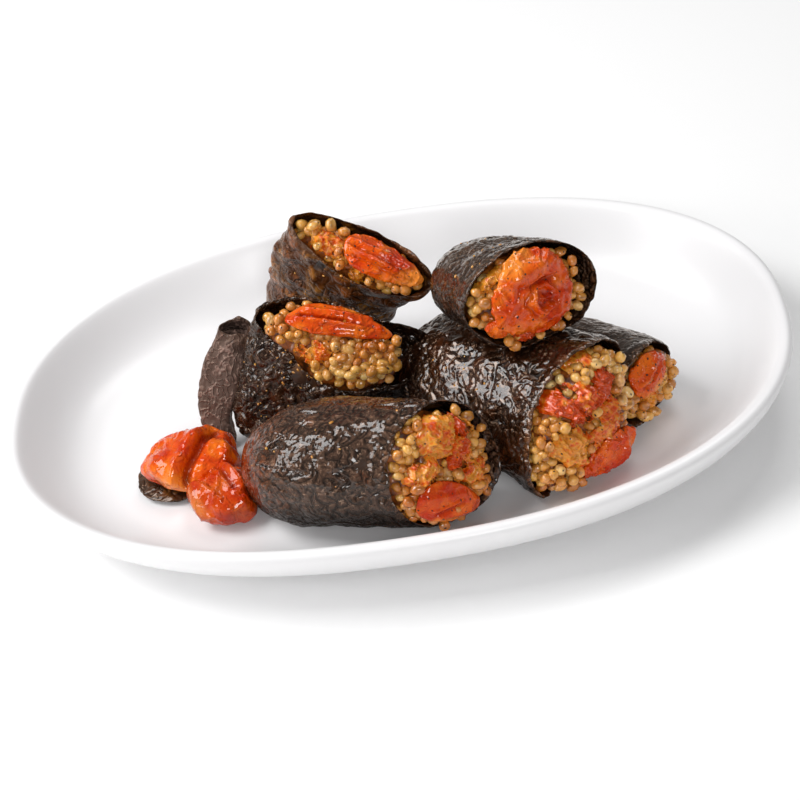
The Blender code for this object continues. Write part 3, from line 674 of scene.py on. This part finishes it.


# tomatoes, stewed until they fold: glossy red skin over orange flesh, in millimetres and
# degrees. Half is the half length and half width. Fitted is the growth along and across the
# piece, and its shift across and up. Flesh is the way on the piece that orange flesh shows, and
# where it starts. Ridges run from one place on the piece to another, then height and width.
# Pleats fan out from a place: number, height and reach. Rings: their middle, spacing and height
# shade puts painted shade over the whole piece
tomatoes = {
    "tomato_front": {
        "roll": "front", "centre": (-4.5, -10.5), "turn": -33, "half": (12.5, 6.8),
        "fitted": (1.02, 1.08, 0, 0), "cell": 6.0, "fold": 0.25, "fine": 0.04,
        "flesh": (0.3, -0.95, 0.55), "ridges": (
            (3.6, 2.2, -5.3, -3.0, 0.8, 0.7), (5.2, 1.2, -3.4, -4.2, -0.9, 0.8), (-9, 1, 4, 4.2, 0.7, 1.4),
            (-2, -5, 9, -1.5, 0.6, 1.0))},
    "tomato_middle_left": {
        "roll": "middle_left", "centre": (2.6, 6.0), "turn": 7, "half": (18, 4.8),
        "fitted": (1.05, 1.3, 0, -0.5), "cell": 6.0, "fold": 0.4, "fine": 0.05,
        "flesh": (0.75, 0.55, 0.5), "ridges": (
            (-14, 0.6, 2, 0.2, -1.7, 0.8), (-15, -1.4, 14, -1.8, 0.9, 1.0), (-12, 2.6, 10, 2.4, 0.9, 1.0),
            (2, 0.2, 12, -0.4, -0.9, 0.7))},
    "tomato_middle_right": {
        "roll": "middle_right", "centre": (-4.9, -16.5), "turn": -40, "half": (8.5, 7.5),
        "fitted": (1.2, 1.15, 1, 0), "cell": 4.4, "fold": 1.0, "fine": 0.1,
        "flesh": (-0.6, 0.2, 0.6), "ridges": (
            (-3, 5, 3, 5, 0.9, 1.2), (5, 3, 3, -5, 0.8, 1.2))},
    "tomato_far_right": {
        "roll": "far_right", "centre": (1.0, 6.0), "turn": -7, "half": (8, 6.5),
        "fitted": (1.15, 1.15, -2, 0), "cell": 4.5, "fold": 0.6, "fine": 0.08,
        "flesh": (0.2, -0.9, 0.5), "ridges": (
            (-5, -2, 5, 4, 0.8, 0.9), (-4, -4, 4, 1, -0.8, 0.7))},
    "tomato_back_left": {
        "roll": "back_left", "centre": (7.8, 0.4), "turn": -1, "half": (14.5, 5.2),
        "fitted": (1.05, 1.25, -1, 0), "cell": 5.0, "fold": 0.5, "fine": 0.06,
        "flesh": (0.9, -0.2, 0.45), "ridges": (
            (-12, 2.4, 10, 2.8, 0.9, 0.8), (-12, 0.6, 11, 0.4, -0.8, 0.6), (-10, -1, 12, -1, 0.8, 0.7),
            (-8, -3, 9, -2.6, -0.7, 0.6))},
    "tomato_top_right": {
        "roll": "top_right", "centre": (0.5, 4.5), "turn": 70, "half": (13.5, 12),
        "fitted": (1.17, 1.17, -1.5, -1), "cell": 5.0, "fold": 0.8, "fine": 0.1, "shade": -0.25,
        "flesh": (0.6, 0.75, 0.56), "rings": ((-1, -3), 2.6, 1.1),
        "ridges": ((11, -2, 2, 10, 1.8, 2.2), (7, -5, 0, 6.5, -1.0, 1.0))},
    "bit_top_right": {
        "roll": "top_right", "centre": (-12.5, -8.5), "turn": 10, "half": (4.4, 3.6),
        "fitted": (1, 1, 0, 0), "cell": 3.5, "fold": 0.3, "fine": 0.1, "flesh": (0, -1, 0.9),
        "ridges": ()},
    "tomato_loose_back": {
        "centre": (-75, -20), "turn": -6, "half": (17.5, 13.5), "fitted": (0.98, 1.05, 1.5, -2),
        "cell": 9.0, "fold": 0.55, "fine": 0.1, "flesh": (-0.1, -1, 0.75),
        "pleats": ((-12.7, 8.6), 11, 0.8, 16), "ridges": (
            (4, 10, -5, -12, 1.5, 2.2), (8, 8, -0.5, -13, -2.4, 1.5), (11, 6, 13, -4, 1.2, 1.8))},
    "tomato_loose_front": {
        "centre": (-63.5, -42), "turn": -35, "half": (12.5, 11.5), "fitted": (1.05, 1.05, 2, 0),
        "cell": 8.0, "fold": 0.6, "fine": 0.1, "shade": 0.5, "flesh": (-0.5, -0.9, 0.75), "ridges": (
            (-9.6, 8.9, 7.9, 2.0, 1.5, 1.2), (-9, -4, 4, -7, 1.0, 1.2), (-7, 6, 6, -1, -1.2, 1.2),
            (-2, 3, 2, -8, 0.7, 1.0))},
}
tomatoMesh = {"levels": 4, "looseLevels": 3}


def stewedTomato():
    made, add, shader, place = newMaterial("stewedTomato", {
        "Subsurface Weight": 0.12, "Subsurface Radius": (1.0, 0.25, 0.06), "Subsurface Scale": 0.0012,
        "IOR": 1.4, "Roughness": 0.24, "Specular IOR Level": 0.15, "Specular Tint": "#ffb070",
        "Coat Weight": 0.75, "Coat Roughness": 0.02})
    flesh, depth = (add("Attribute", {"attribute_name": item}).outputs["Fac"]
                    for item in ("flesh", "depth"))
    clouds = add("TexNoise", {"Scale": 1 / (7 * mm), "Detail": 3}, {"Vector": place})
    # painted shade: a darker red where the depth mask is high
    shade = add("MapRange", {"From Min": 0.1, "From Max": 1.0, "To Max": 0.75}, {"Value": depth})
    base = add("ValToRGB", {"stops": ((0.34, "#c63000"), (0.5, "#da4e06"), (0.66, "#e86c10"))},
               {"Fac": clouds})
    for colour, share in (("#f08a30", flesh), ("#8c1102", shade)):
        base = add("Mix", {"data_type": "RGBA", 7: colour}, {0: share, 6: base})
    puckers = add("TexNoise", {"Scale": 1 / (3.2 * mm), "Detail": 2, "Distortion": 0.6}, {"Vector": place})
    centred = add("Math", {"operation": "SUBTRACT", 1: 0.5}, {0: puckers})
    folded = add("Math", {"operation": "ABSOLUTE"}, {0: centred})
    creased = add("MapRange", {"interpolation_type": "SMOOTHSTEP", "From Max": 0.22}, {"Value": folded})
    bump = add("Bump", {"Strength": 0.8, "Distance": 0.5 * mm}, {"Height": creased})
    link(shader, {"Base Color": base, "Normal": bump})
    return made


def ridgeAt(spot, ridge):
    # the height that one ridge gives a spot on the piece
    start, end = Vector(ridge[:2]), Vector(ridge[2:4])
    share = min(1.0, max(0.0, (spot - start).dot(end - start) / (end - start).length_squared))
    away = (spot - start - (end - start) * share).length
    return ridge[4] * math.exp(-(away / ridge[5]) ** 2)


def pleatsAt(spot, place, pleats):
    origin, count, rise, reach = pleats
    ray = spot - Vector(origin)
    fade = smoothStep(0.5, 5, ray.length) * smoothStep(reach, reach * 0.4, ray.length)
    wobble = noise.noise(place * 0.2) * 1.5
    return rise * fade * (abs(math.sin(math.atan2(ray.y, ray.x) * count / 2 + wobble)) - 0.6)


def ringsAt(spot, place, rings):
    origin, apart, rise = rings
    away = (spot - Vector(origin)).length + noise.noise(place * 0.3) * 2
    return rise * math.cos(away * math.tau / apart / 1.6) * smoothStep(9, 5, away)


def buildTomato(node, look, finish, seed):
    bm = cadCopy(node)
    if "roll" in look:
        mouth, facing, side, top = mouthFrame(rolls[look["roll"]])
        centre = mouth / mm + side * look["centre"][0] + top * look["centre"][1]
        bm = rounded(bm, tomatoMesh["levels"])
    else:
        facing, side, top = Vector((0, 0, 1)), Vector((1, 0, 0)), Vector((0, 1, 0))
        centre = Vector((*look["centre"], 0))
        bm = rounded(bm, tomatoMesh["looseLevels"])
    cosine, sine = turned(look["turn"])
    longer, wider, acrossShift, upShift = look["fitted"]
    for vertex in bm.verts:
        away = vertex.co - centre * mm
        for way, growth in ((side * cosine + top * sine, longer), (top * cosine - side * sine, wider)):
            vertex.co += way * away.dot(way) * (growth - 1)
        vertex.co += (side * acrossShift + top * upShift) * mm
    centre = centre + side * acrossShift + top * upShift
    flesh, depth = floatLayers(bm, "flesh", "depth")
    shift = Vector((seed * 4.7, seed * 9.1, seed * 2.3))
    bm.normal_update()
    moves = []
    for vertex in bm.verts:
        place = vertex.co / mm
        across, up = (place - centre).dot(side), (place - centre).dot(top)
        spot = Vector((across * cosine + up * sine, up * cosine - across * sine))
        cloud = place / look["cell"] + shift
        cloud = cloud + noise.noise_vector(cloud * 0.8) * 0.5
        ridge = creaseLine(noise.noise(cloud), 2.2)
        second = creaseLine(noise.noise(cloud * 2.3 + shift), 3)
        height = look["fold"] * (ridge ** 2 - 0.35)
        height += look["fine"] * (noise.noise(cloud * 4) + 2 * second ** 2)
        upper = smoothStep(-0.1, 0.5, vertex.normal.dot(facing))
        shaped = sum(ridgeAt(spot, item) for item in look["ridges"])
        if "pleats" in look:
            shaped += pleatsAt(spot, place, look["pleats"])
        if "rings" in look:
            shaped += ringsAt(spot, place, look["rings"])
        height += shaped * upper
        part = Vector((spot.x / look["half"][0], spot.y / look["half"][1]))
        toward = part.dot(Vector(look["flesh"][:2])) + 0.3 * noise.noise(cloud * 1.3 + shift)
        vertex[flesh] = smoothStep(look["flesh"][2], look["flesh"][2] + 0.4, toward)
        # painted shade: the depth mask rises in the ridges' troughs, on sides turned away from where the
        # piece faces, and by its shade
        vertex[depth] = look.get("shade", 0) + smoothStep(0.1, 1.2, -shaped * upper)
        vertex[depth] += 0.5 * (1 - upper)
        moves.append((vertex, vertex.normal * height * mm))
    for vertex, move in moves:
        vertex.co += move
    tree = BVHTree.FromBMesh(bm)
    addPiece(bm, "stewed_" + node, [finish], [node])
    return tree


# mush: tomato pulp and oil-soaked skin draped over the grains of a roll. Its place across and
# up in the mouth, half length, half width, turn, how ragged it is, gold 0 to red 1, and how far
# it stands out of the pulp: low ones fill the gaps between the grains, high ones lie over them
mushes = {
    "front": {
        "flap": (2.2, 14.5, 10.5, 6.6, 43, 0.15, 0.26, 5.4),
        "coil": (2.4, 2.6, 3.8, 2.8, 40, 0.35, 0.8, 4.4),
        "spots": (8.2, 12.5, 3.0, 4.8, 10, 0.4, 0.72, 4.8),
        "lower": (-9.0, 3.5, 7.0, 5.0, 20, 0.4, 0.3, 4.5),
        "right": (8.0, -5.0, 6.5, 5.0, -20, 0.5, 0.3, 4.1),
        "middle": (6.0, 5.0, 5.5, 5.0, 30, 0.5, 0.5, 4.5),
        "edge": (15.0, 12.0, 4.5, 8.0, 20, 0.5, 0.1, 3.5),
    },
    "middle_left": {"left": (-3.0, -7.0, 6.5, 3.8, 0, 0.5, 0.35, 3.4)},
    "middle_right": {
        "flap": (13.3, 1.2, 7.0, 5.0, 20, 0.4, 0.75, 4.2),
        "upper": (20.0, 13.5, 8.0, 6.0, -30, 0.45, 0.25, 4.3),
        "pulp": (1.3, 11.0, 4.5, 7.5, 0, 0.5, 0.6, 4.7),
        "side": (3.0, -6.0, 10.0, 7.5, 10, 0.6, 0.38, 4.3),
        "lower": (-11.0, -12.0, 9.0, 6.0, 10, 0.5, 0.6, 4.5),
        "left": (-10.0, 2.0, 10.0, 7.0, 60, 0.6, 0.2, 3.8),
        "centre": (7.0, 6.0, 7.0, 6.0, -30, 0.6, 0.5, 4.1),
    },
    "back_left": {
        "lower": (-12.0, -1.0, 8.0, 4.5, 5, 0.5, 0.35, 3.4),
        "blob": (0.9, -7.0, 3.4, 2.2, 0, 0.3, 0.0, 3.6),
    },
    "top_right": {
        "rim": (-12.5, 12.0, 4.5, 11.0, -42, 0.3, 0.1, 3.6),
        "tail": (-2.5, -12.5, 4.5, 4.0, 0, 0.4, 0.9, 3.4),
    },
    "far_right": {"lower": (-2.0, -4.5, 5.0, 3.5, 20, 0.5, 0.2, 3.0)},
}
# spare is how far the grid reaches, in the patch's own half lengths
mushLook = {"grid": 60, "spare": 1.3, "thickness": 0.7, "smoothing": 5, "tapered": {"flap_front": 0.62}}


def oiledPulp():
    # tomato flesh and skin cooked soft: gold, orange and red, see-through at its thin edges
    made, add, shader, place = newMaterial("oiledPulp", {
        "Subsurface Weight": 0.2, "Subsurface Radius": (1.0, 0.4, 0.12), "Subsurface Scale": 0.0012,
        "IOR": 1.42, "Roughness": 0.24, "Specular IOR Level": 0.2, "Coat Weight": 0.9,
        "Coat Roughness": 0.03})
    tint = add("Attribute", {"attribute_name": "tint"}).outputs["Fac"]
    clouds = add("TexNoise", {"Scale": 1 / (2.6 * mm), "Detail": 2}, {"Vector": place})
    shifted = add("Math", {"operation": "MULTIPLY_ADD", 1: 0.9}, {0: clouds, 2: tint})
    pushed = add("VectorMath", {"operation": "MULTIPLY_ADD", 1: (0.0012, 0.0012, 0.0012)},
                 {0: clouds.outputs["Color"], 2: place})
    veins = add("TexVoronoi", {"feature": "DISTANCE_TO_EDGE", "Scale": 1 / (2.4 * mm)}, {"Vector": pushed})
    lines = add("MapRange", {"From Max": 0.3, "To Min": 0, "To Max": 0.2}, {"Value": veins})
    toned = add("Math", {"operation": "ADD"}, {0: shifted, 1: lines})
    base = add("ValToRGB", {"stops": ((0.36, "#c47218"), (0.6, "#ee9e34"), (0.85, "#e26612"),
                                      (1, "#cc4404"))}, {"Fac": toned})
    raised = add("MapRange", {"From Max": 0.3, "To Min": 1, "To Max": 0}, {"Value": veins})
    height = add("Math", {"operation": "ADD"}, {0: raised, 1: clouds})
    bump = add("Bump", {"Strength": 0.55, "Distance": 0.35 * mm}, {"Height": height})
    link(shader, {"Base Color": base, "Normal": bump})
    return made


def buildMush(name, roll, look, surface, finish, seed):
    acrossMiddle, upMiddle, halfLength, halfWidth, turn, ragged, tintValue, rise = look
    opening = mouthFrame(roll)
    normal = opening[1]
    cosine, sine = turned(turn)
    bm = bmesh.new()
    tint, = floatLayers(bm, "tint")
    grid = mushLook["grid"]
    bmesh.ops.create_grid(bm, x_segments=grid, y_segments=int(grid * halfWidth / halfLength),
                          size=mushLook["spare"])
    shift = Vector((seed * 3.3, seed * 1.7, 0))
    gone = []
    for vertex in bm.verts:
        along, beside = vertex.co.x, vertex.co.y
        edge = 1 + ragged * (noise.noise(Vector((along * 1.6, beside * 1.6, 0)) + shift)
                             + 0.7 * noise.noise(Vector((along * 4, beside * 4, 2)) + shift))
        across = acrossMiddle + along * halfLength * cosine - beside * halfWidth * sine
        up = upMiddle + along * halfLength * sine + beside * halfWidth * cosine
        hit = dropOnto(surface, opening, across, up, 0.07)[0]
        away = math.hypot(along, beside / (1 - mushLook["tapered"].get(name, 0) * along))
        if away > edge or not hit:
            gone.append(vertex)
            continue
        thin = smoothStep(1.0, 0.5, away / edge)
        vertex.co = hit + normal * (rise * (0.35 + 0.65 * thin) - 1.2) * mm
        vertex[tint] = tintValue - 0.1 + 0.25 * noise.noise(vertex.co / mm * 0.3)
    bmesh.ops.delete(bm, geom=gone, context="VERTS")
    smooth(bm, mushLook["smoothing"])
    for vertex in bm.verts:
        place = vertex.co / mm
        crumple = creaseLine(noise.noise(place * 0.28 + shift), 3.5) ** 2 * 1.7
        crumple += creaseLine(noise.noise(place * 0.65 + shift), 3) ** 2 * 0.6 - 0.5
        vertex.co += normal * crumple * mm
    bmesh.ops.solidify(bm, geom=bm.faces, thickness=mushLook["thickness"] * mm)
    bmesh.ops.recalc_face_normals(bm, faces=bm.faces)
    replaced = [name] if name in nodes else []
    tree = BVHTree.FromBMesh(bm)
    addPiece(bm, "mush_" + name, [finish], replaced)
    return tree


# ground pepper and dried herb on the fillings, and crumbs of filling on the skins

speckLook = {"perMouth": 70, "size": (0.2, 0.42)}
# crumbs fall from 100 mm away, from the diner's side, and none stays on a lip
crumbLook = {"size": (0.2, 0.8), "spread": 9, "fall": Vector((0, 0.5, -0.866)), "drop": 0.1,
             "fromLip": 1.5, "tries": {"middle_left": 88, "middle_right": 24, "top_right": 32,
                                       "back_left": 28, "front": 12, "far_right": 8}}


def groundPepper():
    made, add, shader, place = newMaterial("groundPepper", {"Roughness": 0.6})
    clouds = add("TexNoise", {"Scale": 1 / (2 * mm), "Detail": 1}, {"Vector": place})
    base = add("ValToRGB", {"stops": ((0.45, "#120c08"), (0.6, "#3a2a14"))}, {"Fac": clouds})
    link(shader, {"Base Color": base})
    return made


def flakeAt(bm, hit, facing, size, draw):
    turn = facing.to_track_quat("Z", "Y").to_matrix().to_4x4()
    shape = Matrix.Diagonal((draw.uniform(0.7, 1.6), draw.uniform(0.6, 1), 0.5, 1))
    matrix = Matrix.Translation(hit) @ turn @ Matrix.Rotation(draw.uniform(0, math.tau), 4, "Z") @ shape
    bmesh.ops.create_icosphere(bm, subdivisions=1, radius=size * mm, matrix=matrix)


def buildSpecks(surfaces, draw):
    bm = bmesh.new()
    for name, roll in rolls.items():
        for step, hit, facing in mouthSpots(roll, surfaces[name], speckLook["perMouth"], 0.95, draw):
            chance = random.Random(f"{name} {step}")
            flakeAt(bm, hit, facing, chance.uniform(*speckLook["size"]), chance)
    addPiece(bm, "pepper", [groundPepper()])


def buildCrumbs(skins, grainFinish):
    bm = bmesh.new()
    tone, stain = floatLayers(bm, "tone", "stain")
    for name, tries in crumbLook["tries"].items():
        tree = treeOf([skins[name]])
        tail = Vector(rolls[name]["tail"]) * mm
        mouth, outward = mouthFrame(rolls[name])[:2]
        for step in range(tries):
            chance = random.Random(f"{name} {step}")
            aside = Vector([chance.gauss(0, crumbLook["spread"]) for _ in range(3)]) * mm
            start = tail.lerp(mouth, chance.uniform(-0.1, 1)) + aside
            start -= crumbLook["fall"] * crumbLook["drop"]
            hit, facing, _, _ = tree.ray_cast(start, crumbLook["fall"])
            if not hit or (hit - mouth).dot(outward) > -crumbLook["fromLip"] * mm:
                continue
            before = len(bm.verts)
            flakeAt(bm, hit, facing, chance.triangular(*crumbLook["size"], 0.35), chance)
            bm.verts.ensure_lookup_table()
            for vertex in bm.verts[before:]:
                vertex[tone] = chance.uniform(0, 0.6)
                vertex[stain] = 0.15
    addPiece(bm, "crumbs", [grainFinish])


# the stage: a pale floor, soft lights, and the camera at the photograph's angle

cameraLook = {"place": (0.04891, -0.53884, 0.4442), "azimuth": 5.16, "elevation": 38.77, "roll": -11.74,
              "lens": 86.7, "sensor": 36}
lights = (  # name, place, size and watts
    ("left", (-0.64, 0.07, 0.82), 0.56, 8.2),
    ("low", (-0.85, -0.33, 0.5), 0.32, 2.2),
    ("top", (0.3, 0.5, 1.0), 0.45, 2.8),
    ("front", (0.15, -1.2, 0.85), 0.35, 5.8),
)
worldLight = 0.21


def buildStage():
    bm = bmesh.new()
    bmesh.ops.create_grid(bm, x_segments=1, y_segments=1, size=3)
    floor = meshObject("floor", bm)
    floor.data.materials.append(newMaterial("palePaper", {"Base Color": "#fafafa", "Roughness": 0.9,
                                                          "Specular IOR Level": 0.1})[0])
    world = bpy.data.worlds.new("studio")
    bpy.context.scene.world = world
    world.use_nodes = True
    world.node_tree.nodes["Background"].inputs["Color"].default_value = toLinear("#ffffff")
    world.node_tree.nodes["Background"].inputs["Strength"].default_value = worldLight
    for name, place, size, watts in lights:
        data = bpy.data.lights.new(name, "AREA")
        data.size = size
        data.energy = watts
        lamp = newObject(name, data)
        lamp.location = place
        lamp.rotation_euler = (-Vector(place)).to_track_quat("-Z", "Y").to_euler()
    data = bpy.data.cameras.new("camera")
    data.lens = cameraLook["lens"]
    data.sensor_width = cameraLook["sensor"]
    camera = newObject("camera", data)
    turn = Matrix.Rotation(math.radians(cameraLook["azimuth"]), 3, "Z")
    turn = turn @ Matrix.Rotation(math.radians(90 - cameraLook["elevation"]), 3, "X")
    turn = turn @ Matrix.Rotation(math.radians(cameraLook["roll"]), 3, "Z")
    camera.location = cameraLook["place"]
    camera.rotation_euler = turn.to_euler()
    bpy.context.scene.camera = camera
    bpy.context.scene.view_settings.view_transform = "Standard"


def buildAll():
    buildStage()
    buildPlatter()
    print("platter done")
    inside = skinInside()
    skins = {}
    for seed, (name, roll) in enumerate(rolls.items()):
        skins[name] = buildSkin(name, roll, seed + 1, inside)
    buildSkin("fold_left", foldLook, 8, None)
    buildSkin("scrap", scrapLook, 9, None)
    print("skins done", {name: len(skin.data.polygons) for name, skin in skins.items()})
    finish = stewedTomato()
    tomatoTrees = {node: buildTomato(node, look, finish, seed + 1)
                   for seed, (node, look) in enumerate(tomatoes.items())}
    print("tomatoes done")
    pulp = fillingPulp()
    grainFinish = cookedGrain()
    draw = random.Random(5)
    fences = [treeOf([nodes[node]]) for node in nodes if node.startswith("skin_") or node == "platter"]
    fences += list(tomatoTrees.values())
    cores = {name: buildCore(name, pulp) for name in rolls}
    mushFinish = oiledPulp()
    covers = {name: [] for name in rolls}
    patches = [(name, part, look) for name, parts in mushes.items() for part, look in parts.items()]
    for seed, (name, part, look) in enumerate(patches):
        covers[name].append(buildMush(f"{part}_{name}", rolls[name], look, cores[name], mushFinish,
                                      seed + 1))
    print("mush done")
    grains = {}
    for name, roll in rolls.items():
        grains[name] = buildGrains(name, roll, cores[name], fences, covers[name],
                                   list(tomatoTrees.values()), grainFinish, draw)
    print("fillings done")
    toppings = [item for item in bpy.data.objects if item.name.startswith(("mush_", "stewed_"))]
    tops = {name: treeOf([grains[name], bpy.data.objects["pulp_" + name], *toppings]) for name in rolls}
    buildSpecks(tops, draw)
    buildCrumbs(skins, grainFinish)


buildAll()
